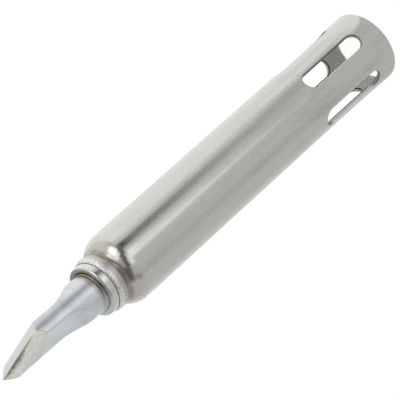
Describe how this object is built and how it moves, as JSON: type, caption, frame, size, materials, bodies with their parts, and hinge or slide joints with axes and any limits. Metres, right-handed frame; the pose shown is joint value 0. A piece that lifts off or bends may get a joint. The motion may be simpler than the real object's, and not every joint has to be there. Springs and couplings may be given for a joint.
{
  "type": "soldering iron tip",
  "caption": "Slip-on soldering iron tip: a slotted, slightly flared heater tube with a stepped neck and rolled lip, and a plated bit with hollowed flats and a slanted knife edge.",
  "frame": {"origin": "centre of the plane of the tube's open rear end, on the tube's axis; the tip stands on that end", "axes": "+Z along the tube towards the point, +X towards the side where the cutting edge starts low down, +Y and -Y out of the two flats of the blade"},
  "size_m": [0.0088, 0.0088, 0.0619],
  "materials": {
    "outer_tube": "satin drawn steel",
    "lip_sleeve": "bright rolled steel",
    "knife_bit": "plated copper with a tinned end"
  },
  "bodies": {
    "root": {"outer_tube": "outer_tube", "lip_sleeve": "lip_sleeve", "knife_bit": "knife_bit"}
  },
  "joints": []
}
